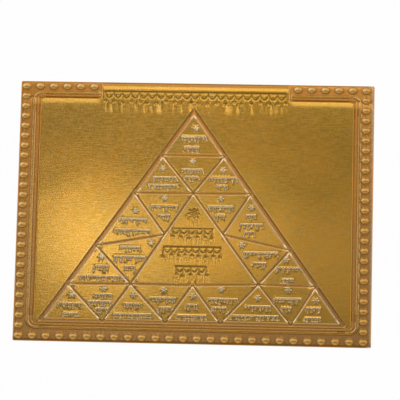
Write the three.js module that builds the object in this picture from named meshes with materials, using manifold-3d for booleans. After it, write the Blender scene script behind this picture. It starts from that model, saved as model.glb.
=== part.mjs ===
// A small yantra plate: thin copper foil with a gold finish, stamped with a lattice of triangles in a double
// frame and a border of beads, then folded round a stiff card and hemmed behind it.
//
// Millimetres, +Z up. The plate lies on its back with the stamped face up. The origin is at the middle of
// its underside, +X runs along its long side and +Y towards its plain header strip.
import * as THREE from "three";
import { mergeVertices } from "three/addons/utils/BufferGeometryUtils.js";
import Module from "manifold-3d";

const wasm = await Module();
wasm.setup();

// The foil, the card in it and the fold between them
const plateWidth = 110;
const plateHeight = 81;
const plateCornerRadius = 0.8;
const foilThickness = 0.2;
const foldRadius = 0.5;
const boardThickness = 1.2;
const boardClearance = 0.3;
const hemWidth = 7;
const mitreGap = 0.4;

// Beads of the border: insets run from the plate's edge to the middle of a bead
const beadPitchX = 4.22;
const beadPitchY = 3.1;
const beadLength = 2.6;
const beadWidth = 1.75;
const beadHeight = 0.6;
const beadInsetX = 2.15;
const beadInsetY = 1.65;
const beadShiftX = -0.35;

// The frame's two raised lines, from the plate's edge inwards, and the field inside them
const frameInsetSides = 4.05;
const frameInsetTop = 3.35;
const frameInsetFoot = 4;
const frameCornerRadius = 2.4;
const outerLineWidth = 0.7;
const lineGap = 0.35;
const innerLineWidth = 0.65;
const lineHeight = 0.3;
const fieldGap = 0.4;
const fieldShoulder = 0.8;
const fieldTopRadius = 0.4;

// The plain header strip, a tab of the field that breaks the frame and the beads
const stripLeft = -29.7;
const stripRight = 28.8;
const stripInset = 0.8;
const stripGap = 0.5;

// The great triangle and its lattice: sunk lines round raised cells
const reliefHeight = 0.35;
const bandWidth = 1.7;
const grooveWidth = 1;
const cellShoulder = 0.35;
const cellTopRadius = 0.1;
const apex = { x: -0.8, y: 31.45, sides: ["left", "right"] };
const leftCorner = { x: -46.35, y: -34, sides: ["left", "base"] };
const rightCorner = { x: 46.35, y: -34, sides: ["right", "base"] };

// How far a slope of the underside lies inside the one above it, as a share of the foil's thickness
const slopeShare = 0.5;

const cellCornerRadius = cellShoulder + cellTopRadius;
const fieldCornerRadius = fieldShoulder + fieldTopRadius;
const halfWidth = plateWidth / 2;
const halfHeight = plateHeight / 2;
const boardTop = foilThickness + boardThickness;
const faceLevel = boardTop + foilThickness;

function solid(geometry) {
  geometry.deleteAttribute("normal");
  geometry.deleteAttribute("uv");
  const merged = mergeVertices(geometry, 1e-5);
  return new wasm.Manifold(
    new wasm.Mesh({
      numProp: 3,
      vertProperties: new Float32Array(merged.attributes.position.array),
      triVerts: new Uint32Array(merged.index.array),
    }),
  );
}

// An outline with its corners rounded, as far as its sides leave room. The points run counter-clockwise.
function roundedShape(points, radius) {
  const shape = new THREE.Shape();
  points.forEach((point, index) => {
    const corner = new THREE.Vector2(point.x, point.y);
    const back = new THREE.Vector2(points.at(index - 1).x, points.at(index - 1).y).sub(corner);
    const next = points[(index + 1) % points.length];
    const ahead = new THREE.Vector2(next.x, next.y).sub(corner);
    const halfAngle = Math.acos(back.dot(ahead) / (back.length() * ahead.length())) / 2;
    const room = Math.min(back.length(), ahead.length()) * 0.49 * Math.tan(halfAngle);
    const fitted = Math.min(radius, room);
    const turnsInwards = back.cross(ahead) > 0;
    const middle = back.clone().normalize().add(ahead.clone().normalize());
    const centre = corner.clone().add(middle.setLength(fitted / Math.sin(halfAngle)));
    const start = corner.clone().add(back.setLength(fitted / Math.tan(halfAngle)));
    const end = corner.clone().add(ahead.setLength(fitted / Math.tan(halfAngle)));
    const startAngle = start.sub(centre).angle();
    const endAngle = end.sub(centre).angle();
    shape.absarc(centre.x, centre.y, fitted, startAngle, endAngle, turnsInwards);
  });
  shape.closePath();
  return shape;
}

function rectangle({ left, right, bottom, top }) {
  return [
    { x: left, y: bottom },
    { x: right, y: bottom },
    { x: right, y: top },
    { x: left, y: top },
  ];
}

// Moves each side of a counter-clockwise outline inwards by its own distance
function insetOutline(points, distances) {
  const sides = points.map((start, index) => {
    const end = points[(index + 1) % points.length];
    const length = Math.hypot(end.x - start.x, end.y - start.y);
    const nx = (start.y - end.y) / length;
    const ny = (end.x - start.x) / length;
    return { nx, ny, at: nx * start.x + ny * start.y + distances[index] };
  });
  return sides.map((side, index) => {
    const before = sides.at(index - 1);
    const cross = before.nx * side.ny - before.ny * side.nx;
    return {
      x: (before.at * side.ny - side.at * before.ny) / cross,
      y: (before.nx * side.at - side.nx * before.at) / cross,
    };
  });
}

// A raised pad: its foot has the shape's outline at the given level, and its edge rolls up to its flat top
function pad(shape, level, height, shoulder, steps = 2, cornerSteps = 1) {
  const geometry = new THREE.ExtrudeGeometry(shape, {
    depth: foilThickness,
    bevelThickness: height,
    bevelSize: shoulder,
    bevelOffset: -shoulder,
    bevelSegments: steps,
    curveSegments: cornerSteps,
  });
  return solid(geometry.translate(0, 0, level - foilThickness));
}

// A slab with both its edges rounded, from one level up to another
function roundedSlab(inset, bottom, top, edgeRadius) {
  const outline = rectangle({
    left: inset - halfWidth,
    right: halfWidth - inset,
    bottom: inset - halfHeight,
    top: halfHeight - inset,
  });
  const geometry = new THREE.ExtrudeGeometry(roundedShape(outline, plateCornerRadius), {
    depth: top - bottom - 2 * edgeRadius,
    bevelThickness: edgeRadius,
    bevelSize: edgeRadius,
    bevelOffset: -edgeRadius,
    bevelSegments: 3,
    curveSegments: 3,
  });
  return solid(geometry.translate(0, 0, bottom + edgeRadius));
}

// One bead: a low elliptical dome, closed underneath
function bead(x, y, level, inset) {
  const rings = 2;
  const sides = 8;
  const profile = [new THREE.Vector2(0, -foilThickness), new THREE.Vector2(1, -foilThickness)];
  for (let ring = 0; ring < rings; ring += 1) {
    const angle = (ring / rings) * (Math.PI / 2);
    profile.push(new THREE.Vector2(Math.cos(angle), beadHeight * Math.sin(angle)));
  }
  profile.push(new THREE.Vector2(0, beadHeight));
  const dome = new THREE.LatheGeometry(profile, sides).rotateX(Math.PI / 2).rotateZ(Math.PI / sides);
  dome.scale(beadLength / 2 - inset, beadWidth / 2 - inset, 1);
  return solid(dome.translate(x, y, level));
}

// Even places from one end to the other, as near to the pitch as they divide
function evenPlaces(reach, pitch) {
  const steps = Math.round((2 * reach) / pitch);
  return Array.from({ length: steps + 1 }, (_, index) => ((2 * index) / steps - 1) * reach);
}

// The border's beads, all but those that the header strip takes the place of
function beadPlaces() {
  const columns = evenPlaces(halfWidth - beadInsetX, beadPitchX).map((x) => x + beadShiftX);
  const rows = evenPlaces(halfHeight - beadInsetY, beadPitchY);
  const inStrip = (x) => x > stripLeft - beadLength / 2 && x < stripRight + beadLength / 2;
  return [
    ...columns.filter((x) => !inStrip(x)).map((x) => ({ x, y: rows.at(-1) })),
    ...columns.map((x) => ({ x, y: rows[0] })),
    ...rows.slice(1, -1).flatMap((y) => [{ x: columns[0], y }, { x: columns.at(-1), y }]),
  ];
}

// The outer edge of the frame, drawn in by a distance
function frameBounds(inset) {
  return {
    left: frameInsetSides + inset - halfWidth,
    right: halfWidth - frameInsetSides - inset,
    bottom: frameInsetFoot + inset - halfHeight,
    top: halfHeight - frameInsetTop - inset,
  };
}

// A raised line of the frame, from one distance inside its outer edge to another
function frameLine(start, end, level) {
  const shoulderShare = 0.3;
  const shape = roundedShape(rectangle(frameBounds(start)), frameCornerRadius - start);
  shape.holes.push(roundedShape(rectangle(frameBounds(end)), frameCornerRadius - end));
  return pad(shape, level, lineHeight, (end - start) * shoulderShare, 1, 3);
}

function frameLines(level, inset) {
  const innerStart = outerLineWidth + lineGap;
  const outerLine = frameLine(inset, outerLineWidth - inset, level);
  const innerLine = frameLine(innerStart + inset, innerStart + innerLineWidth - inset, level);
  const breakLeft = stripLeft - stripGap - inset;
  const breakRight = stripRight + stripGap + inset;
  const lineBreak = new THREE.BoxGeometry(breakRight - breakLeft, halfHeight, 2 * faceLevel);
  lineBreak.translate((breakLeft + breakRight) / 2, halfHeight, level);
  return outerLine.add(innerLine).subtract(solid(lineBreak));
}

// The field and its header strip, with the well of the great triangle sunk through them
function field(level, inset) {
  const start = outerLineWidth + lineGap + innerLineWidth + fieldGap;
  const { left, right, bottom, top } = frameBounds(start + inset);
  const stripTop = halfHeight - stripInset - inset;
  const outline = [
    { x: left, y: bottom },
    { x: right, y: bottom },
    { x: right, y: top },
    { x: stripRight - inset, y: top },
    { x: stripRight - inset, y: stripTop },
    { x: stripLeft + inset, y: stripTop },
    { x: stripLeft + inset, y: top },
    { x: left, y: top },
  ];
  const outwards = -bandWidth / 2 - inset;
  const rim = insetOutline([apex, leftCorner, rightCorner], [outwards, outwards, outwards]);
  const well = new THREE.ExtrudeGeometry(roundedShape(rim, cellCornerRadius), {
    depth: reliefHeight,
    bevelThickness: reliefHeight,
    bevelSize: cellShoulder,
    bevelOffset: -cellShoulder,
    bevelSegments: 1,
    curveSegments: 1,
  });
  well.translate(0, 0, level + reliefHeight);
  const shape = roundedShape(outline, fieldCornerRadius);
  return pad(shape, level, reliefHeight, fieldShoulder, 2, 2).subtract(solid(well));
}

// A crossing of lattice lines at a height on the line from one crossing to another
function crossingAt(from, to, y) {
  const share = (y - from.y) / (to.y - from.y);
  const sides = from.sides.filter((side) => to.sides.includes(side));
  return { x: from.x + (to.x - from.x) * share, y, sides };
}

// The lattice's crossings, row by row from the apex down. The die was cut by hand, so they are uneven.
function latticeRows() {
  const onLeft = (y) => crossingAt(apex, leftCorner, y);
  const onRight = (y) => crossingAt(apex, rightCorner, y);
  const onBase = (x) => ({ x, y: leftCorner.y, sides: ["base"] });
  const centreTop = { x: -0.4, y: 6, sides: [] };
  const centreLeft = { x: -19, y: -22.4, sides: [] };
  const centreRight = { x: 20.3, y: -21.8, sides: [] };
  const centreFoot = { x: 0.1, y: -22.4, sides: [] };
  const innerLeft = crossingAt(centreTop, centreLeft, -7);
  const innerRight = crossingAt(centreTop, centreRight, -6.7);
  return [
    [apex],
    [onLeft(17.8), onRight(17.8)],
    [onLeft(5.9), centreTop, onRight(6.2)],
    [onLeft(-10.7), innerLeft, innerRight, onRight(-11.1)],
    [onLeft(-22.6), centreLeft, centreFoot, centreRight, onRight(-22.1)],
    [leftCorner, onBase(-27.4), onBase(-8), onBase(8.8), onBase(30.4), rightCorner],
  ];
}

// The outlines of the cells between the crossings, counter-clockwise: small triangles round one large one
function cellOutlines() {
  const rows = latticeRows();
  const [, , second, third, fourth] = rows;
  const outlines = [];
  for (let row = 0; row + 1 < rows.length; row += 1) {
    const upper = rows[row];
    const lower = rows[row + 1];
    upper.forEach((top, index) => {
      outlines.push([top, lower[index], lower[index + 1]]);
      if (index > 0) outlines.push([top, upper[index - 1], lower[index]]);
    });
  }
  const large = [second[1], fourth[1], fourth[2], fourth[3]];
  const insideLarge = [...large, third[1], third[2]];
  const small = outlines.filter((outline) => !outline.every((crossing) => insideLarge.includes(crossing)));
  return [large, ...small];
}

// A raised cell, held back from the lines round it by half their width
function cell(outline, level, inset) {
  const distances = outline.map((start, index) => {
    const end = outline[(index + 1) % outline.length];
    const onBand = start.sides.some((side) => end.sides.includes(side));
    return (onBand ? bandWidth : grooveWidth) / 2 + inset;
  });
  const shape = roundedShape(insetOutline(outline, distances), cellCornerRadius);
  return pad(shape, level, reliefHeight, cellShoulder);
}

// One face of the stamped foil as a filled block: the front, or the underside that lies a wall inside it
function stampedBlock(wall) {
  const level = faceLevel - wall;
  const inset = wall * slopeShare;
  const base = roundedSlab(wall, wall, level, foldRadius - wall);
  const raised = [
    field(level, inset),
    frameLines(level, inset),
    ...cellOutlines().map((outline) => cell(outline, level, inset)),
    ...beadPlaces().map(({ x, y }) => bead(x, y, level, inset)),
  ];
  return raised.reduce((block, piece) => block.add(piece), base);
}

// What the hem leaves open behind: a window, and a slit along the mitre of each corner
function hemCutter() {
  const depth = foilThickness + boardThickness;
  const window = new THREE.BoxGeometry(plateWidth - 2 * hemWidth, plateHeight - 2 * hemWidth, depth);
  let cutter = solid(window);
  const reach = hemWidth - foldRadius;
  const slitX = halfWidth - hemWidth + reach / 2;
  const slitY = halfHeight - hemWidth + reach / 2;
  for (const [sideX, sideY] of [[1, 1], [-1, 1], [-1, -1], [1, -1]]) {
    const slit = new THREE.BoxGeometry(reach * Math.SQRT2, mitreGap, depth);
    slit.rotateZ(Math.atan2(sideY, sideX));
    slit.translate(sideX * slitX, sideY * slitY, 0);
    cutter = cutter.add(solid(slit));
  }
  return cutter;
}

function embossedFoil() {
  return stampedBlock(0).subtract(stampedBlock(foilThickness)).subtract(hemCutter());
}

function backingBoard() {
  const inset = foilThickness + boardClearance;
  const outline = rectangle({
    left: inset - halfWidth,
    right: halfWidth - inset,
    bottom: inset - halfHeight,
    top: halfHeight - inset,
  });
  const geometry = new THREE.ExtrudeGeometry(roundedShape(outline, plateCornerRadius), {
    depth: boardThickness,
    bevelEnabled: false,
    curveSegments: 3,
  });
  return solid(geometry.translate(0, 0, foilThickness));
}

function mesh(name, manifold, material) {
  const { vertProperties, triVerts } = manifold.getMesh();
  const geometry = new THREE.BufferGeometry();
  geometry.setAttribute("position", new THREE.BufferAttribute(vertProperties, 3));
  geometry.setIndex(new THREE.BufferAttribute(triVerts, 1));
  geometry.computeVertexNormals();
  const result = new THREE.Mesh(geometry, material);
  result.name = name;
  return result;
}

const goldenCopper = new THREE.MeshStandardMaterial({ color: 0xc8973c, roughness: 0.36, metalness: 1 });
const greyCard = new THREE.MeshStandardMaterial({ color: 0xa8977b, roughness: 0.9, metalness: 0 });

const plate = new THREE.Group();
plate.add(mesh("embossed_foil", embossedFoil(), goldenCopper));
plate.add(mesh("backing_board", backingBoard(), greyCard));

export default plate;
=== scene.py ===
import math

import bmesh
import bpy
import numpy as np
from mathutils import Matrix, Vector, geometry, kdtree


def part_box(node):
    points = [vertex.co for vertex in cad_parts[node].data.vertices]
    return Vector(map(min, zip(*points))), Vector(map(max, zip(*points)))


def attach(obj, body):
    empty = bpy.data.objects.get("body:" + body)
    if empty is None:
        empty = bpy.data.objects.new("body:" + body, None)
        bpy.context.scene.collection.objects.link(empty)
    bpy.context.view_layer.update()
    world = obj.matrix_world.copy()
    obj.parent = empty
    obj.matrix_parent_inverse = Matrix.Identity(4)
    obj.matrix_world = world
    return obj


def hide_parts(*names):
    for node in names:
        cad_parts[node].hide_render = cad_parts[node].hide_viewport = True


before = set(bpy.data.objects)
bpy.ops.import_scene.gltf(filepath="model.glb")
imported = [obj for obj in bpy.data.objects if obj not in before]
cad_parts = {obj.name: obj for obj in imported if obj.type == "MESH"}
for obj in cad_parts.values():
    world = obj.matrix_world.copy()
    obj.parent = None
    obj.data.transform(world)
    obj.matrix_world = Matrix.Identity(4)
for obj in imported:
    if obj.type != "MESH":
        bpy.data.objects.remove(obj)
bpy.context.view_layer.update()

# The view. The plate is photographed from straight above, a little from its foot, through a long lens. The
# camera isn't quite square to the plate, so it is turned by a few degrees each way.
camera_place = (0.0334, -0.0714, 0.6134)
camera_turn = (7.087, 2.788, 1.418)
lens_length = 180


def placed(name, data):
    """A new object in the scene, at the origin"""
    made = bpy.data.objects.new(name, data)
    bpy.context.scene.collection.objects.link(made)
    return made


camera_data = bpy.data.cameras.new("camera")
camera_data.sensor_width = 36
camera_data.lens = lens_length
camera = placed("camera", camera_data)
camera.location = camera_place
camera.rotation_euler = [math.radians(angle) for angle in camera_turn]
bpy.context.scene.camera = camera
bpy.context.scene.view_settings.view_transform = "Standard"

# The board. A grey card of pulped paper, cut to the plate's size. It is loose in the foil, which is folded
# round its four edges, and it shows only behind, in the window that the hem leaves. Sizes are in millimetres.
millimetre = 0.001
fibre_size = (0.9, 0.12, 0.2)
pulp_size = (3, 3, 3)
fleck_size = (0.35, 0.35, 0.35)
dark_pulp = (0.23, 0.19, 0.14, 1)
light_pulp = (0.38, 0.33, 0.26, 1)
fleck_brown = (0.1, 0.08, 0.06, 1)
card_roughness = 0.8


class Wire:
    """An output in a node tree. Arithmetic on it adds Math nodes, and node() adds a node of any kind."""

    def __init__(self, tree, socket=None):
        self.tree = tree
        self.socket = socket

    def node(self, kind, inputs=None, output=0, **settings):
        """A new node with these settings and inputs, as the wire of one of its outputs"""
        made = self.tree.nodes.new(kind)
        for name, setting in settings.items():
            setattr(made, name, setting)
        for place, value in (inputs or {}).items():
            if isinstance(value, Wire):
                self.tree.links.new(value.socket, made.inputs[place])
            else:
                made.inputs[place].default_value = value
        return Wire(self.tree, made.outputs[output])

    def maths(self, operation, *others):
        return self.node("ShaderNodeMath", dict(enumerate((self, *others))), operation=operation)

    def __add__(self, other):
        return self.maths("ADD", other)

    def __sub__(self, other):
        return self.maths("SUBTRACT", other)

    def __rsub__(self, other):
        return self.node("ShaderNodeMath", {0: other, 1: self}, operation="SUBTRACT")

    def __mul__(self, other):
        return self.maths("MULTIPLY", other)

    def __truediv__(self, other):
        return self.maths("DIVIDE", other)

    def __rtruediv__(self, other):
        return self.node("ShaderNodeMath", {0: other, 1: self}, operation="DIVIDE")

    __radd__ = __add__
    __rmul__ = __mul__

    def rise(self, low, high):
        """0 at low and 1 at high, with a smooth step from one to the other"""
        limits = {"Value": self, "From Min": low, "From Max": high}
        return self.node("ShaderNodeMapRange", limits, interpolation_type="SMOOTHSTEP")

    def near(self, middle, full, gone):
        """1 where this is within full of the middle, and 0 where it is gone or more away from it"""
        return 1 - (self - middle).maths("ABSOLUTE").rise(full, gone)

    def parts(self):
        """The x, y and z of a vector"""
        split = self.node("ShaderNodeSeparateXYZ", {0: self})
        return [Wire(self.tree, part) for part in split.socket.node.outputs]


def finish_named(name):
    """A new material, a wire to build its nodes on, and its Principled BSDF"""
    material = bpy.data.materials.new(name)
    material.use_nodes = True
    return material, Wire(material.node_tree), material.node_tree.nodes["Principled BSDF"]


def stretched(wire, across, along, up=1):
    """The place on the object, in millimetres, drawn out along each axis"""
    place = wire.node("ShaderNodeTexCoord", output="Object")
    scale = [1 / (length * millimetre) for length in (across, along, up)]
    return wire.node("ShaderNodeVectorMath", {0: place, 1: scale}, operation="MULTIPLY")


def noise(wire, place, detail=2, roughness=0.5):
    inputs = {"Vector": place, "Scale": 1, "Detail": detail, "Roughness": roughness}
    return wire.node("ShaderNodeTexNoise", inputs)


def mixed(factor, first, second):
    inputs = {0: factor, 6: first, 7: second}
    return factor.node("ShaderNodeMix", inputs, output=2, data_type="RGBA")


def largest(first, *others):
    """At each point, the largest of several wires"""
    for other in others:
        first = first.maths("MAXIMUM", other)
    return first


def connect(wire, shader, socket):
    wire.tree.links.new(wire.socket, shader.inputs[socket])


card, card_wire, card_shader = finish_named("grey_card")
fibres = noise(card_wire, stretched(card_wire, *fibre_size), detail=3)
pulp = noise(card_wire, stretched(card_wire, *pulp_size), detail=4, roughness=0.65)
flecks = noise(card_wire, stretched(card_wire, *fleck_size)).rise(0.68, 0.74)
grey = mixed(fibres * 0.5 + pulp * 0.5, dark_pulp, light_pulp)
connect(mixed(flecks * 0.5, grey, fleck_brown), card_shader, "Base Color")
connect(card_roughness + pulp * 0.15, card_shader, "Roughness")
card_grain = {"Height": fibres + pulp, "Distance": 0.04 * millimetre, "Strength": 0.6}
connect(card_wire.node("ShaderNodeBump", card_grain), card_shader, "Normal")

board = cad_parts["backing_board"]
board.data.materials.clear()
board.data.materials.append(card)


# The die. Its lines, beads and ornament are what the foil is stamped with. It is cut by hand, so its
# triangles are a little uneven. All its places are millimetres from the middle of the plate.
foil_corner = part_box("embossed_foil")[1] / millimetre
half_width = foil_corner.x
half_height = foil_corner.y

apex = (-0.8, 31.45)
left_corner = (-46.35, -34)
right_corner = (46.35, -34)
centre_top = (-0.4, 6)
centre_left = (-19, -22.4)
centre_right = (20.3, -21.8)
centre_foot = (0.1, -22.4)


def crossing(start, end, height):
    share = (height - start[1]) / (end[1] - start[1])
    return (start[0] + (end[0] - start[0]) * share, height)


def on_left(height):
    return crossing(apex, left_corner, height)


def on_right(height):
    return crossing(apex, right_corner, height)


def on_base(across):
    return (across, left_corner[1])


inner_left = crossing(centre_top, centre_left, -7)
inner_right = crossing(centre_top, centre_right, -6.7)
high_left = on_left(17.8)
high_right = on_right(17.8)
upper_left = on_left(5.9)
upper_right = on_right(6.2)
lower_left = on_left(-10.7)
lower_right = on_right(-11.1)
low_left = on_left(-22.6)
low_right = on_right(-22.1)
base_far_left = on_base(-27.4)
base_left = on_base(-8)
base_right = on_base(8.8)
base_far_right = on_base(30.4)
band_lines = [(apex, left_corner), (left_corner, right_corner), (right_corner, apex)]
groove_lines = [
    (high_left, high_right),
    (upper_left, centre_top),
    (centre_top, upper_right),
    (high_left, centre_top),
    (high_right, centre_top),
    (upper_left, inner_left),
    (upper_right, inner_right),
    (centre_top, centre_left),
    (centre_top, centre_right),
    (inner_left, lower_left),
    (inner_right, lower_right),
    (lower_left, centre_left),
    (lower_right, centre_right),
    (low_left, centre_left),
    (centre_left, centre_foot),
    (centre_foot, centre_right),
    (centre_right, low_right),
    (low_left, base_far_left),
    (centre_left, base_far_left),
    (centre_left, base_left),
    (centre_foot, base_left),
    (centre_foot, base_right),
    (centre_right, base_right),
    (centre_right, base_far_right),
    (low_right, base_far_right),
]


def outline_mesh(name, lines):
    """A mesh of loose edges, which stands in the scene while the foil is stamped with it"""
    mesh = bpy.data.meshes.new(name)
    ends = [(x, y, 0) for line in lines for x, y in line]
    mesh.from_pydata(ends, [(2 * number, 2 * number + 1) for number in range(len(lines))], [])
    return placed(name, mesh)


def points_mesh(name, places):
    """A mesh of loose points, which stands in the scene in the same way"""
    mesh = bpy.data.meshes.new(name)
    mesh.from_pydata([(x, y, 0) for x, y in places], [], [])
    return placed(name, mesh)


def geometry_tree(name, sizes):
    """A Geometry Nodes tree with these named inputs, and the wires of its inputs by name"""
    tree = bpy.data.node_groups.new(name, "GeometryNodeTree")
    tree.interface.new_socket("Geometry", in_out="OUTPUT", socket_type="NodeSocketGeometry")
    tree.interface.new_socket("Geometry", in_out="INPUT", socket_type="NodeSocketGeometry")
    kinds = {float: "NodeSocketFloat", int: "NodeSocketInt", bpy.types.Object: "NodeSocketObject"}
    for size_name, size in sizes.items():
        tree.interface.new_socket(size_name, in_out="INPUT", socket_type=kinds[type(size)])
    inlet = tree.nodes.new("NodeGroupInput")
    return {socket.name: Wire(tree, socket) for socket in inlet.outputs if socket.name}


def end_tree(shape, material):
    """Ends a tree in Realize Instances and Set Material"""
    real = shape.node("GeometryNodeRealizeInstances", {0: shape})
    faced = shape.node("GeometryNodeSetMaterial", {"Geometry": real, "Material": material})
    outlet = shape.tree.nodes.new("NodeGroupOutput")
    shape.tree.links.new(faced.socket, outlet.inputs[0])
    return shape.tree


def made_plain(shaped, tree, sizes):
    """Runs a tree on an object and leaves the result as its plain mesh"""
    modifier = shaped.modifiers.new(tree.name, "NODES")
    modifier.node_group = tree
    for item in tree.interface.items_tree:
        if item.name in sizes:
            modifier[item.identifier] = sizes[item.name]
    depsgraph = bpy.context.evaluated_depsgraph_get()
    result = bpy.data.meshes.new_from_object(shaped.evaluated_get(depsgraph), depsgraph=depsgraph)
    shaped.modifiers.clear()
    shaped.data = result


def on_points(points, shape, **placing):
    inputs = {"Points": points, "Instance": shape, **placing}
    return points.node("GeometryNodeInstanceOnPoints", inputs)


def joined(*shapes):
    join = shapes[0].tree.nodes.new("GeometryNodeJoinGeometry")
    for shape in shapes:
        shape.tree.links.new(shape.socket, join.inputs[0])
    return Wire(shapes[0].tree, join.outputs[0])


def edges_of(curve):
    return curve.node("GeometryNodeCurveToMesh", {"Curve": curve})


def vector(wire, x=0, y=0, z=0):
    return wire.node("ShaderNodeCombineXYZ", {0: x, 1: y, 2: z})


def hanging_leaf(start, length, width):
    """The outline of a leaf that hangs from the origin and narrows to its tip"""
    circle = start.node("GeometryNodeCurvePrimitiveCircle", {"Resolution": 14, "Radius": 1})
    side, down, _ = start.node("GeometryNodeInputPosition").parts()
    narrowing = 0.38
    x = side * (1 - narrowing + down * narrowing) * width * 0.5
    y = (down - 1) * length * 0.5
    return start.node("GeometryNodeSetPosition", {"Geometry": circle, "Position": vector(start, x, y)})


# A garland is a cord with a swag between each two of its points, and a leaning tassel with a bud at each.
garland_sizes = {"Pitch": 0.85, "Swag depth": 0.45, "Tassel length": 1.35, "Bud size": 0.1, "Unevenness": 0.4}
garland = geometry_tree("garland", garland_sizes)
cord_line = garland["Geometry"]
cords = cord_line.node("GeometryNodeMeshToCurve", {"Mesh": cord_line})
pitch = garland["Pitch"]
cord_points = cords.node("GeometryNodeResampleCurve", {"Curve": cords, "Length": pitch}, mode="LENGTH")
arc = {"Resolution": 7, "Radius": pitch * 0.5, "Start Angle": math.pi, "Sweep Angle": math.pi}
swag = cord_line.node("GeometryNodeCurveArc", arc)
swag_shift = vector(cord_line, pitch * 0.5)
swag_scale = vector(cord_line, 1, garland["Swag depth"] / pitch * 2, 1)
swag_place = {"Geometry": edges_of(swag), "Translation": swag_shift, "Scale": swag_scale}
swag = cord_line.node("GeometryNodeTransform", swag_place)
tassel_end = vector(cord_line, 0, garland["Tassel length"] * -1)
tassel = cord_line.node("GeometryNodeCurvePrimitiveLine", {"End": tassel_end})
bud = cord_line.node("GeometryNodeCurvePrimitiveCircle", {"Resolution": 7, "Radius": garland["Bud size"]})
bud = cord_line.node("GeometryNodeTransform", {"Geometry": bud, "Translation": tassel_end})


def uneven(amount, seed):
    """A random number about 0, as large as this at most, for each point"""
    limits = {"Min": amount * -1, "Max": amount, "Seed": seed}
    return amount.node("FunctionNodeRandomValue", limits, output="Value", data_type="FLOAT")


lean_seed = 3
length_seed = 8
lean = vector(cord_line, z=uneven(garland["Unevenness"], lean_seed))
longer = vector(cord_line, 1, 1 + uneven(garland["Unevenness"], length_seed), 1)
tassels = on_points(cord_points, joined(edges_of(tassel), edges_of(bud)), Rotation=lean, Scale=longer)
last = cord_line.node("GeometryNodeCurveEndpointSelection", {"Start Size": 0, "End Size": 1})
not_last = cord_line.node("FunctionNodeBooleanMath", {0: last}, operation="NOT")
swags = on_points(cord_points, swag, Selection=not_last)
garland_tree = end_tree(joined(swags, tassels, cord_line), None)

# A rosette is a ring of petals round an eye.
rosette_sizes = {"Petals": 6, "Petal length": 0.62, "Petal width": 0.42, "Eye": 0.12, "Hub": 0.32}
rosette = geometry_tree("rosette", rosette_sizes)
flowers = rosette["Geometry"]
hub = flowers.node("GeometryNodeMeshCircle", {"Vertices": rosette["Petals"], "Radius": rosette["Hub"]})
petal = hanging_leaf(flowers, rosette["Petal length"], rosette["Petal width"])
turn = flowers.node("GeometryNodeInputIndex") * (2 * math.pi) / rosette["Petals"] + math.pi / 2
petals = on_points(hub, edges_of(petal), Rotation=vector(flowers, z=turn))
eye = flowers.node("GeometryNodeCurvePrimitiveCircle", {"Resolution": 8, "Radius": rosette["Eye"]})
flower = joined(petals, edges_of(eye))
rosette_tree = end_tree(on_points(flowers, flower), None)

# The ornament. Each cell has a rosette at its top and rows of small garlands below it, all cut in the die by
# hand. A rosette is written as its middle, and a row as its height on the plate and its two ends.
cell_rosettes = [
    (0, 26.3), (-10, 13.5), (-0.8, 15.9), (8.6, 13.3), (-18, 0.2), (-9.2, 4.3), (8.2, 4.4), (17.7, 1.8),
    (-28.2, -14.3), (-13, -9.6), (15, -9.8), (28.7, -14), (-37, -26), (-27.3, -24), (-18, -25.8),
    (-8.7, -24), (0.3, -25.8), (9, -23.5), (20.3, -26), (29.5, -23.5), (38, -26.5),
]
cell_rows = [
    (23, -4.5, 3), (19.8, -3.5, 1), (10.3, -13, -6), (7.9, -14.5, -5.5), (12.9, -4.2, 2.2), (10.4, -3, 1),
    (10.4, 4.7, 13), (8, 6.8, 10), (-2.8, -23, -14.5), (-6.2, -24.3, -13.5), (1.4, -13.5, -5),
    (-1.4, -11, -7.5), (1.4, 4.3, 12), (-1.3, 6.5, 9.5), (-1, 16, 19), (-3.8, 14.5, 21), (-6.3, 16, 18.5),
    (-17.5, -30, -26), (-20.7, -35, -20), (-11.5, -22.5, -16.5), (-14.5, -24.3, -15), (-17.6, -21, -18),
    (-12.5, 15.5, 26), (-15.7, 18.5, 22.5), (-17, 25.5, 33), (-20.5, 27.5, 31), (-29.3, -40.8, -34),
    (-32.3, -39.5, -35.2), (-26.3, -30, -24.7), (-28.5, -32, -24.5), (-30.7, -29.5, -25.7),
    (-29, -21, -15.5), (-32.2, -24, -12.5), (-27, -13, -5), (-30, -10, -6.5), (-29, -1.5, 1.5),
    (-32.3, -4.3, 4.5), (-27, 5, 14), (-29.7, 6.5, 10.5), (-29, 17, 24), (-32, 12.5, 26.5),
    (-26.5, 25.5, 33.5), (-29.3, 27.5, 30.5), (-29.2, 35, 39.5), (-32.3, 34.8, 39.5),
]
cell_row_height = 1.3
centre_rosette = (0, -0.5)
centre_rows = [(-6.7, -6.5, 5.8), (-12.5, -9, 8.5), (-18.5, -5, 4)]
centre_row_height = 3.2
header_row = (35.6, -28.6, 27.7)
header_row_height = 3.4


def row_cords(rows, height):
    """The cord of each garland, along the top of its row"""
    return [((left, middle + height / 2), (right, middle + height / 2)) for middle, left, right in rows]


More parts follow.
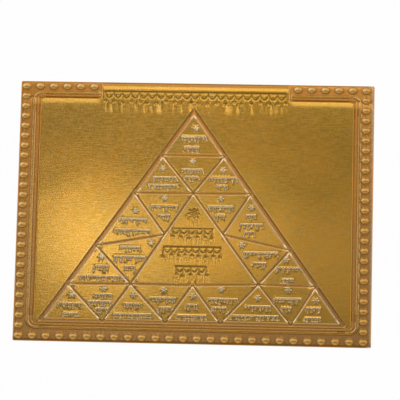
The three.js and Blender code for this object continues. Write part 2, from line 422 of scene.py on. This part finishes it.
cell_cords = outline_mesh("cell_garlands", row_cords(cell_rows, cell_row_height))
made_plain(cell_cords, garland_tree, garland_sizes)
cell_flowers = points_mesh("cell_rosettes", cell_rosettes)
made_plain(cell_flowers, rosette_tree, rosette_sizes)
centre_sizes = {"Pitch": 2.1, "Swag depth": 1.7, "Tassel length": 2.6, "Bud size": 0.3, "Unevenness": 0.15}
centre_cords = outline_mesh("centre_garlands", row_cords(centre_rows, centre_row_height))
made_plain(centre_cords, garland_tree, centre_sizes)
centre_flower_sizes = {"Petals": 8, "Petal length": 1.15, "Petal width": 0.75, "Eye": 0.3, "Hub": 0.55}
centre_flower = points_mesh("centre_rosette", [centre_rosette])
made_plain(centre_flower, rosette_tree, centre_flower_sizes)
header_sizes = {"Pitch": 2.6, "Swag depth": 1.9, "Tassel length": 3.0, "Bud size": 0.35, "Unevenness": 0.15}
header_cords = outline_mesh("header_garland", row_cords([header_row], header_row_height))
made_plain(header_cords, garland_tree, header_sizes)


def merged(name, *parts):
    """Several objects of the die as one, under a new name"""
    whole = bmesh.new()
    for part in parts:
        whole.from_mesh(part.data)
        bpy.data.objects.remove(part)
    mesh = bpy.data.meshes.new(name)
    whole.to_mesh(mesh)
    return placed(name, mesh)


fine_strokes = merged("fine_strokes", cell_cords, cell_flowers)
bold_strokes = merged("bold_strokes", centre_cords, centre_flower, header_cords)
bands = outline_mesh("bands", band_lines)
grooves = outline_mesh("grooves", groove_lines)

# The beads of the border, in even rows along the four edges. The row at the top stops short of the header
# strip, which is a tab of the field.
bead_pitch = (4.22, 3.1)
bead_size = (2.7, 1.95)
bead_inset = (2.15, 1.65)
bead_shift = -0.35
bead_clearance = 1.3
strip_left = -29.7
strip_right = 28.8


def even_places(reach, pitch):
    steps = round(2 * reach / pitch)
    return [reach * (2 * number / steps - 1) for number in range(steps + 1)]


bead_columns = [x + bead_shift for x in even_places(half_width - bead_inset[0], bead_pitch[0])]
bead_rows = even_places(half_height - bead_inset[1], bead_pitch[1])
bead_places = [(x, bead_rows[0]) for x in bead_columns]
bead_places += [(x, bead_rows[-1]) for x in bead_columns if x < strip_left - bead_clearance]
bead_places += [(x, bead_rows[-1]) for x in bead_columns if x > strip_right + bead_clearance]
bead_places += [(x, y) for y in bead_rows[1:-1] for x in (bead_columns[0], bead_columns[-1])]

# The foil. One sheet of thin copper with a gold finish. It is stamped on the die, then folded round the
# board, and its cut edges are hemmed behind. Its points lie close together where the die has lines.
foil_thickness = 0.2
fold_radius = 0.5
corner_radius = 0.5
face_level = 1.6
frame_sides = 4.05
frame_top = 3.35
frame_foot = 4.0
outer_line = (-0.08, 0.72)
inner_line = (0.8, 1.56)
field_start = 1.68
side_stretch = 1.25
strip_top = half_height - 0.8
strip_foot = 30


def rounded_outline(inset, step=1.5, corner_steps=5):
    """Points round the plate at a distance from its edge, always in the same number"""
    x = half_width - corner_radius
    y = half_height - corner_radius
    radius = max(corner_radius - inset, 0)
    inner = min(corner_radius - inset, 0)
    points = []
    for number, (side_x, side_y) in enumerate([(1, 1), (-1, 1), (-1, -1), (1, -1)]):
        corner = np.array([side_x * (x + inner), side_y * (y + inner)])
        for turn in range(corner_steps + 1):
            angle = (number + turn / corner_steps) * math.pi / 2
            points.append(corner + radius * np.array([math.cos(angle), math.sin(angle)]))
        length = 2 * (x if side_y * side_x > 0 else y)
        steps = round(length / step)
        ahead = np.array([(-1, 1), (-1, -1), (1, -1), (1, 1)][number])
        next_corner = np.array([ahead[0] * (x + inner), ahead[1] * (y + inner)])
        edge = math.cos((number + 1) * math.pi / 2), math.sin((number + 1) * math.pi / 2)
        start = corner + radius * np.array(edge)
        end = next_corner + radius * np.array(edge)
        points += [start + (end - start) * part / steps for part in range(1, steps)]
    return np.array(points)


def hexagonal(spacing, left, right, bottom, top):
    """Points in a hexagonal pattern over a rectangle"""
    across = np.arange(left, right, spacing)
    up = np.arange(bottom, top, spacing * math.sqrt(0.75))
    x, y = np.meshgrid(across, up)
    x[1::2] += spacing / 2
    return np.stack([x.ravel(), y.ravel()], 1)


def distances(points, lines):
    """How far each point is from each line, as an array"""
    result = []
    for start, end in np.array(lines):
        way = end - start
        share = np.clip((points - start) @ way / (way @ way), 0, 1)
        result.append(np.linalg.norm(points - start - share[:, None] * way, axis=1))
    return np.stack(result, 1)


def rows_along(line, offsets, step):
    """Points in rows on both sides of a line, at these distances, and the pairs that follow in a row"""
    start, end = np.array(line)
    way = end - start
    length = np.linalg.norm(way)
    normal = np.array([-way[1], way[0]]) / length
    shares = np.linspace(0, 1, max(round(length / step), 1) + 1)
    both = sorted({*offsets, *[-offset for offset in offsets]})
    rows = np.concatenate([start + shares[:, None] * way + normal * offset for offset in both])
    number = np.arange(len(rows)).reshape(len(both), len(shares))
    return rows, np.stack([number[:, :-1].ravel(), number[:, 1:].ravel()], 1)


frame_left = frame_sides - half_width
frame_right = half_width - frame_sides
frame_bottom = frame_foot - half_height
frame_upper = half_height - frame_top
line_middle = 1.45
left = frame_left + line_middle
right = frame_right - line_middle
bottom = frame_bottom + line_middle
top = frame_upper - line_middle
frame_centres = [
    ((left, bottom), (right, bottom)),
    ((left, top), (strip_left, top)),
    ((strip_right, top), (right, top)),
    ((left, bottom), (left, top)),
    ((right, bottom), (right, top)),
]
strip_edge = strip_top - 0.4
strip_side_end = top - 2
strip_edges = [
    ((strip_left, strip_edge), (strip_right, strip_edge)),
    ((strip_left, strip_top), (strip_left, strip_side_end)),
    ((strip_right, strip_top), (strip_right, strip_side_end)),
]

# Each line of the die has rows of points at these distances, and keeps other points as far off as its reach.
followed = [
    {"lines": band_lines, "reach": 1.3,
     "rows": (0, 0.25, 0.42, 0.5, 0.58, 0.66, 0.74, 0.82, 0.9, 1.05, 1.25)},
    {"lines": groove_lines, "reach": 0.8, "rows": (0, 0.1, 0.18, 0.26, 0.34, 0.42, 0.5, 0.6, 0.75)},
    {"lines": frame_centres, "reach": 2.1, "rows": [number * 0.12 for number in range(18)]},
    {"lines": strip_edges, "reach": 0.6, "rows": (0, 0.15, 0.3, 0.45, 0.6)},
]
features = [(line, kind["reach"], kind["rows"]) for kind in followed for line in kind["lines"]]
feature_lines = [line for line, _, _ in features]
reaches = np.array([reach for _, reach, _ in features])

# Elsewhere the points are a grid, coarse on flat metal and fine where lines meet and at the frame's corners.
# It is closer below the header too, where the foil puckers.
fineness = 1
row_step = 1.25
coarse_spacing = 1.0
header_spacing = 0.4 * fineness
crossing_spacing = 0.19 * fineness
puckered_middle = 32
puckered_reach = 2
frame_corner = (48, 34)
frame_lift = 0.3
frame_corner_reach = 4
sets = []
pairs = []
count = 0
for number, (line, _, offsets) in enumerate(features):
    rows, follow = rows_along(line, offsets, row_step)
    near = distances(rows, feature_lines) < reaches
    near[:, number] = False
    clear = ~near.any(axis=1)
    new_number = np.cumsum(clear) - 1
    pairs.append(new_number[follow[clear[follow].all(axis=1)]] + count)
    sets.append(rows[clear])
    count += clear.sum()
everywhere = (-half_width, half_width, -half_height, half_height)
coarse = hexagonal(coarse_spacing, *everywhere)
puckered = (strip_left, strip_right, puckered_middle - puckered_reach, puckered_middle + puckered_reach)
below_header = hexagonal(header_spacing, *puckered)
beside = np.abs(coarse[:, 0]) > -strip_left
coarse = coarse[beside | (np.abs(coarse[:, 1] - puckered_middle) > puckered_reach)]
for grid in (coarse, below_header):
    sets.append(grid[~(distances(grid, feature_lines) < reaches).any(axis=1)])
fine = hexagonal(crossing_spacing, *everywhere)
near = distances(fine, feature_lines) < reaches
from_corner = np.abs(fine - (0, frame_lift)) - frame_corner
in_corner = np.hypot(from_corner[:, 0], from_corner[:, 1]) < frame_corner_reach
sets.append(fine[(near.sum(axis=1) > 1) | in_corner])


def round_strokes(strokes, spacing, reach):
    """Points along each stroke, and a fine grid within reach of them but not too close to them"""
    too_close = 0.35 * spacing
    shortest = 0.0001
    corners = np.array([vertex.co[:2] for vertex in strokes.data.vertices])
    lines = [corners[list(edge.vertices)] for edge in strokes.data.edges]
    lines = [line for line in lines if np.ptp(line, axis=0).max() > shortest]
    spines = np.concatenate([rows_along(line, [0], spacing)[0] for line in lines])
    tree = kdtree.KDTree(len(spines))
    for number, point in enumerate(spines):
        tree.insert((*point, 0), number)
    tree.balance()
    low = corners.min(0) - reach
    high = corners.max(0) + reach
    grid = hexagonal(spacing, low[0], high[0], low[1], high[1])
    away = np.array([tree.find((x, y, 0))[2] for x, y in grid])
    return np.concatenate([spines, grid[(away > too_close) & (away < reach)]])


sets.append(round_strokes(fine_strokes, spacing=0.165 * fineness, reach=0.33))
sets.append(round_strokes(bold_strokes, spacing=0.2 * fineness, reach=0.45))
points = np.concatenate(sets)

# Each bead has its own rings of points, at these shares of its size, and no other points as far as its reach.
ring_shares = (0.4, 0.62, 0.78, 0.92, 1, 1.17)
ring_step = math.pi / 8
bead_reach = 1.3
bead_centres = np.array(bead_places)
bead_scale = 2 / np.array(bead_size)
to_beads = np.linalg.norm((points[:, None] - bead_centres) * bead_scale, axis=2).min(axis=1)
ring_turns = [(math.cos(angle), math.sin(angle)) for angle in np.arange(0, 2 * math.pi, ring_step)]
bead_rings = [(share * across, share * up) for share in ring_shares for across, up in ring_turns]
beads = (bead_centres[:, None] + np.array([(0, 0), *bead_rings]) / bead_scale).reshape(-1, 2)

# Where sets of points overlap, one point is kept of those that share a square as wide as this.
closest = 0.06
rim_gap = 0.05
triangle_merge = 1e-6
face_inset = fold_radius
rim = rounded_outline(face_inset)
keep = to_beads > bead_reach
keep &= np.abs(points[:, 0]) < half_width - face_inset - rim_gap
keep &= np.abs(points[:, 1]) < half_height - face_inset - rim_gap
first = np.zeros(len(points), bool)
first[np.unique(np.round(points / closest).astype(int), axis=0, return_index=True)[1]] = True
keep &= first
new_number = np.cumsum(keep) - 1 + len(rim)
pairs = np.concatenate(pairs)
pairs = new_number[pairs[keep[pairs].all(axis=1)]]

flat = [Vector(point) for point in np.concatenate([rim, points[keep], beads])]
outline = [list(range(len(rim)))]
triangulated = geometry.delaunay_2d_cdt(flat, pairs.tolist(), outline, 1, triangle_merge)
face_points = triangulated[0]
face_triangles = triangulated[2]


def quarter(middle_inset, middle_level, radius, start, steps=4):
    """A quarter turn of the fold as insets and levels, from an angle in degrees"""
    angles = [math.radians(start + 90 * number / steps) for number in range(steps + 1)]
    return [(middle_inset - radius * math.sin(a), middle_level + radius * math.cos(a)) for a in angles]


hem_start = 0.75
weld_distance = 0.0001
inner_radius = fold_radius - foil_thickness
upper_bend = face_level - fold_radius
path = quarter(fold_radius, upper_bend, fold_radius, 0) + quarter(fold_radius, fold_radius, fold_radius, 90)
path += [(hem_start, 0), (hem_start, foil_thickness)]
path += quarter(fold_radius, fold_radius, inner_radius, 90)[::-1]
path += quarter(fold_radius, upper_bend, inner_radius, 0)[::-1]

foil_shape = bmesh.new()
face = [foil_shape.verts.new((x, y, face_level)) for x, y in face_points]
for triangle in face_triangles:
    foil_shape.faces.new([face[number] for number in triangle])
rings = []
for inset, level in path:
    ring = [foil_shape.verts.new((x, y, level)) for x, y in rounded_outline(inset)]
    if rings:
        for number, corner in enumerate(ring):
            above = rings[-1]
            foil_shape.faces.new((above[number - 1], ring[number - 1], corner, above[number]))
    rings.append(ring)
foil_shape.faces.new(rings[-1][::-1])
bmesh.ops.remove_doubles(foil_shape, verts=foil_shape.verts, dist=weld_distance)
foil_mesh = bpy.data.meshes.new("stamped_foil")
foil_shape.to_mesh(foil_mesh)
foil_mesh.shade_smooth()
foil = placed("stamped_foil", foil_mesh)

press_sizes = {
    "Relief": 0.35,
    "Bead height": 0.6,
    "Bead length": bead_size[0],
    "Bead width": bead_size[1],
    "Line height": 0.25,
    "Line shoulder": 0.18,
    "Field shoulder": 0.36,
    "Field sag": 0.12,
    "Sag reach": 2.3,
    "Strip shoulder": 1.9,
    "Band floor": 0.4,
    "Band reach": 0.76,
    "Groove floor": 0.1,
    "Groove reach": 0.47,
    "Groove depth": 0.8,
    "Fine height": 0.085,
    "Bold depth": 0.12,
    "Pull": 0.14,
    "Wave": 0.06,
}
dies = {
    "Bands": bands,
    "Grooves": grooves,
    "Fine strokes": fine_strokes,
    "Bold strokes": bold_strokes,
    "Beads": points_mesh("beads", bead_places),
}
press = geometry_tree("press", {**press_sizes, **dies})
blank = press["Geometry"]
x, y, z = blank.node("GeometryNodeInputPosition").parts()
place = vector(blank, x, y, 0)


def distance_to(part, where, kind="EDGES", scale=(1, 1, 1)):
    """How far the foil's points are from a part of the die"""
    shape = part.node("GeometryNodeObjectInfo", {"Object": part}, output="Geometry")
    shape = part.node("GeometryNodeTransform", {"Geometry": shape, "Scale": scale})
    inputs = {"Geometry": shape, "Sample Position": where}
    return part.node("GeometryNodeProximity", inputs, output="Distance", target_element=kind)


def inside_box(left, right, bottom, top, radius, stretch):
    """How far the foil's points lie inside a round-cornered rectangle. Stretch divides what is sideways."""
    across = ((x - (left + right) / 2).maths("ABSOLUTE") - (right - left) / 2) / stretch + radius
    up = (y - (bottom + top) / 2).maths("ABSOLUTE") - ((top - bottom) / 2 - radius)
    outer = across.maths("MAXIMUM", 0).maths("POWER", 2) + up.maths("MAXIMUM", 0).maths("POWER", 2)
    return radius - outer.maths("SQRT") - across.maths("MAXIMUM", up).maths("MINIMUM", 0)


def ridge(depth, start, end, shoulder):
    """1 between start and end, with a shoulder of this width inside each of them"""
    return depth.rise(start, shoulder + start) * (1 - depth.rise(end - shoulder, end))


def rolled(depth, shoulder):
    """A level that rises from the edge, steeply at first and then more and more slowly"""
    left_over = 1 - (depth / shoulder).maths("MAXIMUM", 0).maths("MINIMUM", 1)
    return 1 - left_over.maths("POWER", 2)


# The raised field and the strip, which is a step and a slow roll. The frame's lines end a little beside it,
# and the field sags along its top edge except under it.
field_side = field_start * side_stretch
strip_step = 0.43
break_gap = 0.6
unsagged = 2
field = inside_box(frame_left + field_side, frame_right - field_side, frame_bottom + field_start,
                   frame_upper - field_start, radius=1.2, stretch=side_stretch)
strip = inside_box(strip_left, strip_right, strip_foot, strip_top, radius=0.2, stretch=0.3)
strip_roll = rolled(strip, press["Strip shoulder"])
strip_level = strip.rise(0, 0.25) * strip_step + strip_roll * (1 - strip_step)
field_level = largest(rolled(field, press["Field shoulder"]), strip_level)
below_top = frame_upper - field_start - y
in_break = ridge(x, strip_left - break_gap, strip_right + break_gap, 0.15) * y.rise(20, 21)
sag = 1 - rolled(below_top, press["Sag reach"])
sag *= (below_top + 0.3).rise(0, 0.3) * (1 - ridge(x, strip_left - unsagged, strip_right + unsagged, 3))


def right_of(line):
    """How far the foil's points are to the right of a line, seen along it"""
    start, end = np.array(line)
    way = (end - start) / np.linalg.norm(end - start)
    return (x - start[0]) * way[1] - (y - start[1]) * way[0]


outside = largest(*[right_of(line) for line in band_lines])
# The foot outside the triangle's band, where the finish paints shade
band_foot_shade = outside.near(0.65, 0.08, 0.36)
band_away = distance_to(press["Bands"], place)
band_level = band_away.rise(press["Band floor"], press["Band reach"])
groove_away = distance_to(press["Grooves"], place)
groove_level = groove_away.rise(press["Groove floor"], press["Groove reach"])
groove_level = 1 - (1 - groove_level) * press["Groove depth"]
raised = field_level * band_level * groove_level

# The frame's two lines, and the seams beside them, darkened with painted shade and some dirt, which is widest
# and darkest at the plate's foot
seam_depths = (0.76, 1.58, -0.1)
frame_depth = inside_box(frame_left, frame_right, frame_bottom, frame_upper, radius=2.4, stretch=side_stretch)
outer_ridge = ridge(frame_depth, *outer_line, press["Line shoulder"]) * (1 - in_break)
inner_ridge = ridge(frame_depth, *inner_line, press["Line shoulder"]) * (1 - in_break)
lines = outer_ridge + inner_ridge
above_foot = y.rise(-36, -33)
seam_reach = 0.5 - above_foot * 0.22
seam_shade = largest(*[frame_depth.near(depth, 0.1, seam_reach) for depth in seam_depths])
seam_shade *= (1 - in_break) * (1 - above_foot * 0.25)

# The beads, as flattened domes, with painted shade in a ring at the foot of each
dome_power = 2.6
dome_fullness = 0.9
bead_stretch = vector(blank, 2 / press["Bead length"], 2 / press["Bead width"], 1)
bead_place = blank.node("ShaderNodeVectorMath", {0: place, 1: bead_stretch}, operation="MULTIPLY")
bead_away = distance_to(press["Beads"], bead_place, "POINTS", bead_stretch)
dome = (1 - bead_away.maths("POWER", dome_power)).maths("MAXIMUM", 0).maths("POWER", dome_fullness)
bead_ring_shade = bead_away.near(1.02, 0.04, 0.22)
bead_top = 1 - bead_away.rise(0.7, 1)

# The strokes are full as far as the first distance from their middle, and end at the second. The foil is
# stretched below the bold ones, so each point looks for a stroke this far above it. The bands' rims and the
# grooves' shoulders are worn, and carry a painted sheen.
fine_stroke = (0.02, 0.18)
bold_stroke = (0.06, 0.27)
look_up = (0, 1.3, 0)
fine_crest = 1 - distance_to(press["Fine strokes"], place).rise(*fine_stroke)
bold_cut = 1 - distance_to(press["Bold strokes"], place).rise(*bold_stroke)
above = blank.node("ShaderNodeVectorMath", {0: place, 1: look_up}, operation="ADD")
stretch = 1 - distance_to(press["Bold strokes"], above).rise(0.3, 1.5)
swell = noise(blank, vector(blank, x * 0.045, y * 0.06), detail=1) - 0.5
rim_wear_and_sheen = largest(band_away.near(0.98, 0.02, 0.2), groove_away.near(0.6, 0.02, 0.16))

# The puckers that the pull of the press left below the header's garland
pull_start = 34.6
pull_fade = pull_start - 0.4
pull_length = 4
pucker_place = vector(blank, x * 0.9, 3.7)
pull = noise(blank, pucker_place, detail=0).rise(0.45, 0.75) * ridge(x, strip_left, strip_right, 2)
pull *= 1 - (pull_fade - y).rise(0, pull_length)
pull *= y.rise(25, 26) * (pull_start - y).rise(0, 0.6)

height = press["Relief"] * raised + press["Line height"] * lines + press["Bead height"] * dome
height += press["Fine height"] * fine_crest - press["Bold depth"] * bold_cut - press["Pull"] * pull
height += press["Wave"] * swell * field_level - press["Field sag"] * sag
face_tolerance = 0.01
on_face = z.maths("GREATER_THAN", face_level - face_tolerance)


def stored(shape, name, value):
    inputs = {"Geometry": shape, "Name": name, "Value": value}
    return shape.node("GeometryNodeStoreNamedAttribute", inputs)


# What the die leaves at each point, for the finish to follow: gold stays on what is raised, dark copper shows
# in what is sunk and where the edges roll over, painted shade with some dirt darkens the seams and groove
# floors, painted shade darkens the bead feet, the edges and the sunk bold strokes, and a painted highlight
# lies in the field.
gilt = largest(raised, outer_ridge * 0.8, inner_ridge * 0.1, dome)
# A painted highlight along the plate's right rim
right_rim_highlight = x.near(half_width - 0.55, 0.1, 0.4)
# Painted shade along the top and bottom edges, heaviest at the foot and lightest at the top beyond the header
# strip, and along the left edge
lighter_edge = y.rise(-1, 1) * (0.9 - ridge(x, strip_left, strip_right, 1) * 0.6)
edge_shade = (y.maths("ABSOLUTE") - half_height + 0.8).rise(0, 0.5) * (1.5 - lighter_edge)
left_edge_shade = (x * -1 - half_width + 0.5).rise(0, 0.4) * 0.4
# Painted shade with some dirt in the groove floors, then all the lines of painted shade together
groove_floor_shade = 1 - groove_away.rise(0.05, 0.25)
shade_and_dirt_lines = largest(seam_shade, groove_floor_shade, bead_ring_shade, edge_shade, left_edge_shade, band_foot_shade)
# Where the painted highlight may lie: the field away from the header, and the frame's outer line
highlight_field = field.rise(1, 1.6) * (1 - y.rise(31.5, 32.5))
highlight_line = ridge(frame_depth, -0.2, 0.8, 0.1) * 0.4
marks = {
    "recess": 1 - gilt,
    "crest": largest(fine_crest, right_rim_highlight * 0.7),
    "cut": largest(bold_cut * 0.45, shade_and_dirt_lines * 0.9),
    "dusty": largest(highlight_field, highlight_line),
    "bead": bead_top,
    "stretch": stretch * field_level,
    "wear": rim_wear_and_sheen * field_level,
}
pressed = blank
for name, mark in marks.items():
    pressed = stored(pressed, name, mark)
lift = {"Geometry": pressed, "Offset": vector(blank, z=height * on_face)}
pressed = blank.node("GeometryNodeSetPosition", lift)
gold, gold_wire, gold_shader = finish_named("gold_toned_copper")
made_plain(foil, end_tree(pressed, gold), {**press_sizes, **dies})
foil.data.transform(Matrix.Scale(millimetre, 4))
for part in dies.values():
    bpy.data.objects.remove(part)


def stamped(name):
    """What the die left at each point of the foil"""
    return gold_wire.node("ShaderNodeAttribute", output="Fac", attribute_name=name)


# The gold finish. Its tone drifts over the plate, and it is brushed both ways and dulled in spots by tarnish.
# Some tones change towards the plate's top and its right as painted light: lighter towards the top and duller
# towards the right. Sizes are in millimetres.
cloud_size = (34, 22, 20)
brush_size = (3.2, 0.36, 1)
cross_brush_size = (0.4, 1.8, 1)
tarnish_size = (3.5, 3.5, 2)
grit_size = (0.3, 0.3, 1)
pucker_size = (0.5, 4, 1)
deep_gold = (0.63, 0.34, 0.045, 1)
warm_gold = (0.78, 0.39, 0.05, 1)
dull_tarnish = (0.58, 0.38, 0.09, 1)
brushed_gold = (0.93, 0.54, 0.14, 1)
foot_brown = (0.64, 0.325, 0.105, 1)
top_brown = (0.75, 0.32, 0.07, 1)
shade_brown = (0.36, 0.16, 0.025, 1)
worn_rim_sheen = (0.96, 0.70, 0.32, 1)
bead_gold = (0.95, 0.58, 0.18, 1)
bead_shade = (0.40, 0.20, 0.04, 1)
bead_glint = (1.0, 0.80, 0.45, 1)
pale_cream = (1.0, 0.88, 0.64, 1)
polish = 0.12

cloud = noise(gold_wire, stretched(gold_wire, *cloud_size), detail=3)
brushing = noise(gold_wire, stretched(gold_wire, *brush_size), detail=3, roughness=0.65)
cross_brushing = noise(gold_wire, stretched(gold_wire, *cross_brush_size), detail=3, roughness=0.65)
grain = brushing * 0.6 + cross_brushing * 0.4
tarnish = noise(gold_wire, stretched(gold_wire, *tarnish_size), detail=2)
grit = noise(gold_wire, stretched(gold_wire, *grit_size), detail=1)
puckers = noise(gold_wire, stretched(gold_wire, *pucker_size), detail=1) - 0.5
across, along, _ = stretched(gold_wire, 1, 1).parts()
near_top = along.rise(-38, 38)
near_right = across.rise(20, 54)
# The brushing's bright streaks fade towards the right: painted light
grain_shows = 0.6 - across.rise(-15, 25) * 0.25

# The metal: gold where it is raised, copper brown where it is sunk, painted shade in the seams and the other
# dark lines, with some dirt in the seams and grooves, and wear with a painted sheen on the rims
recess = stamped("recess")
# The brown is lighter and redder towards the top: painted light
brown = mixed(near_top, foot_brown, top_brown)
tone = mixed(cloud.rise(0.35, 0.65), deep_gold, warm_gold)
tone = mixed(tarnish.rise(0.5, 0.7) * 0.35, tone, dull_tarnish)
tone = mixed(grain.rise(0.4, 0.6) * grain_shows, tone, brushed_gold)
tone = mixed(recess * 0.9, tone, brown)
tone = mixed(stamped("cut") * 0.75, tone, shade_brown)
tone = mixed(stamped("wear") * 0.35, tone, worn_rim_sheen)

# The beads, paler on the side towards the top left and browner on the side away from it. This is the light
# and shade of the photo, put in the colour by the way that the metal faces, so it stays under other light.
bead = stamped("bead")
facing_side, facing_up, _ = gold_wire.node("ShaderNodeTexCoord", output="Normal").parts()
lit_side = (facing_up * 0.5 - facing_side * 0.87).rise(0.1, 0.6)
shaded_side = (facing_side * 0.6 - facing_up * 0.8).rise(0.25, 0.75)
# The beads' gold and their painted light are stronger towards the plate's top and weaker towards its right:
# painted light
lit_amount = 0.5 + near_top * 0.45 - near_right * 0.25
tone = mixed(bead * (0.25 + near_top * 0.35 - near_right * 0.15), tone, bead_gold)
tone = mixed(shaded_side * bead * 0.6, tone, bead_shade)
tone = mixed(lit_side * bead * lit_amount, tone, bead_glint)

# A painted highlight, broken up by the grain, on the shoulders of the relief that face the plate's top or its
# sides, where dust and light can't be told apart in the photo, and pale wear with a fine grit and a painted
# glint on the crests of the small strokes. The same pale tone makes a painted highlight along the plate's
# right rim.
upward = facing_side.maths("ABSOLUTE") * 0.8 + facing_up * 0.6
painted_highlight = upward.rise(0.15, 0.6) * (0.4 + grain * 1.2) * stamped("dusty")
pale = largest(painted_highlight * 0.7, stamped("crest") * (grit.rise(0.4, 0.55) * 0.65 + 0.2))
connect(mixed(pale, tone, pale_cream), gold_shader, "Base Color")
connect(polish + grain * 0.1 + recess * 0.08 + bead * 0.2, gold_shader, "Roughness")
gold_shader.inputs["Metallic"].default_value = 1
brushed = {"Height": grain, "Distance": 0.01 * millimetre, "Strength": 0.8}
brushed_normal = gold_wire.node("ShaderNodeBump", brushed)
puckers *= stamped("stretch")
pulled = {"Height": puckers, "Distance": 0.07 * millimetre, "Strength": 1, "Normal": brushed_normal}
connect(gold_wire.node("ShaderNodeBump", pulled), gold_shader, "Normal")
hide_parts("embossed_foil")
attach(foil, "root")

# The hem. The foil's four edges, turned in flat under the board, with their ends cut to a mitre at each
# corner. The metal is the same sheet as the face. Its edges were sheared by hand and aren't quite straight.
hem_width = 7
hem_steps = 9
mitre_gap = 0.4
shear_waver = 0.12
shear_wave = 0.21
hem_shape = bmesh.new()
for side in range(4):
    side_half, reach = (half_width, half_height) if side % 2 else (half_height, half_width)
    turn = Matrix.Rotation(side * math.pi / 2, 3, "Z")
    columns = round(2 * side_half)
    sheets = []
    for level in (0, foil_thickness):
        sheet = []
        for step in range(hem_steps + 1):
            inset = hem_start + (hem_width - hem_start) * step / hem_steps
            half_length = side_half - inset - mitre_gap * math.sqrt(0.5)
            row = []
            for column in range(columns + 1):
                along_edge = half_length * (2 * column / columns - 1)
                waver = shear_waver * math.sin(along_edge * shear_wave + side)
                outward = reach - inset + waver * (step / hem_steps) ** 2
                row.append(hem_shape.verts.new(turn @ Vector((outward, along_edge, level))))
            sheet.append(row)
        sheets.append(sheet)
    under, over = sheets
    for step in range(hem_steps):
        for column in range(columns):
            for sheet, order in ((under, 1), (over, -1)):
                corners = (sheet[step][column], sheet[step][column + 1],
                           sheet[step + 1][column + 1], sheet[step + 1][column])
                hem_shape.faces.new(corners[::-order])
    round_edge = [(0, number) for number in range(columns)]
    round_edge += [(step, columns) for step in range(hem_steps)]
    round_edge += [(hem_steps, number) for number in range(columns, 0, -1)]
    round_edge += [(step, 0) for step in range(hem_steps, 0, -1)]
    for (step, column), (next_step, next_column) in zip(round_edge, round_edge[1:] + round_edge[:1]):
        hem_shape.faces.new((under[step][column], under[next_step][next_column],
                             over[next_step][next_column], over[step][column]))
bmesh.ops.recalc_face_normals(hem_shape, faces=hem_shape.faces)
hem_mesh = bpy.data.meshes.new("folded_hem")
hem_shape.to_mesh(hem_mesh)
hem_mesh.transform(Matrix.Scale(millimetre, 4))
hem_mesh.materials.append(gold)
hem = placed("folded_hem", hem_mesh)
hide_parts("embossed_foil")
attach(hem, "root")

# The studio. A plain white table, three soft lamps over the plate, the brightest over its left, and a large
# one beyond its top edge. The world round it is a pale room, with two windows beyond the top and a weaker
# light from the foot.
table_half = 3
table_drop = 0.0001
table_white = (0.9, 0.9, 0.9, 1)
backdrop_share = 0.975
table_mesh = bpy.data.meshes.new("table")
corners = [(x * table_half, y * table_half, -table_drop) for x, y in ((-1, -1), (1, -1), (1, 1), (-1, 1))]
table_mesh.from_pydata(corners, [], [(0, 1, 2, 3)])
table = placed("table", table_mesh)
white, white_wire, white_shader = finish_named("white_table")
white_shader.inputs["Base Color"].default_value = table_white
white_shader.inputs["Roughness"].default_value = 0.8
camera_ray = white_wire.node("ShaderNodeLightPath", output="Is Camera Ray")
glossy_ray = white_wire.node("ShaderNodeLightPath", output="Is Glossy Ray")
passing_ray = white_wire.node("ShaderNodeLightPath", output="Is Transmission Ray")
seen = (camera_ray + glossy_ray + passing_ray).maths("MINIMUM", 1) * backdrop_share
glow = white_wire.node("ShaderNodeEmission", {"Color": (1, 1, 1, 1), "Strength": 1})
lit = Wire(white.node_tree, white_shader.outputs[0])
surface = white_wire.node("ShaderNodeMixShader", {0: seen, 1: lit, 2: glow})
connect(surface, white.node_tree.nodes["Material Output"], "Surface")
table_mesh.materials.append(white)


def soft_lamp(name, place, target, sizes, power):
    """A rectangular soft lamp at a place, turned towards a target"""
    data = bpy.data.lights.new(name, "AREA")
    data.shape = "RECTANGLE"
    data.size, data.size_y = sizes
    data.energy = power
    lamp = placed(name, data)
    lamp.location = place
    lamp.rotation_euler = (Vector(target) - Vector(place)).to_track_quat("-Z", "Y").to_euler()


soft_lamp("lamp_over_left", place=(-0.104, 0.054, 0.613), target=(-0.07, -0.03, 0),
          sizes=(0.048, 0.034), power=0.0134)
soft_lamp("lamp_over_middle", place=(-0.043, 0.05, 0.613), target=(-0.01, -0.03, 0),
          sizes=(0.115, 0.055), power=0.0152)
soft_lamp("lamp_over_right", place=(0.06, 0.045, 0.613), target=(0.06, -0.04, 0),
          sizes=(0.12, 0.055), power=0.0045)
soft_lamp("lamp_beyond_top", place=(0.03, 0.25, 0.56), target=(0.03, 0, 0),
          sizes=(0.34, 0.18), power=0.2)

world = bpy.data.worlds.new("studio")
bpy.context.scene.world = world
world.use_nodes = True
sky = Wire(world.node_tree)
direction = sky.node("ShaderNodeTexCoord", output="Generated")


def glow_from(way, start):
    """A soft patch of light in the world, brightest this way"""
    inputs = {0: direction, 1: Vector(way).normalized()}
    towards = sky.node("ShaderNodeVectorMath", inputs, output="Value", operation="DOT_PRODUCT")
    return towards.rise(start, 1)


_, _, level = direction.parts()
dim_room = 0.125
walls = (1 - level.rise(0.6, 0.97)) * 0.32
low_walls = (1 - level.rise(0.1, 0.4)) * 0.1
top_wall = glow_from((0, 0.95, 0.3), -0.8) * 0.2
foot_light = glow_from((0, -0.92, 0.4), 0.75) * 0.35
windows = glow_from((-0.75, 0.6, 0.4), 0.7) + glow_from((0.75, 0.6, 0.4), 0.7)
windows *= level.rise(0.25, 0.5) * 0.55
brightness = dim_room + top_wall + walls + low_walls + foot_light + windows
background = world.node_tree.nodes["Background"]
background.inputs["Color"].default_value = (1, 1, 1, 1)
connect(brightness, background, "Strength")
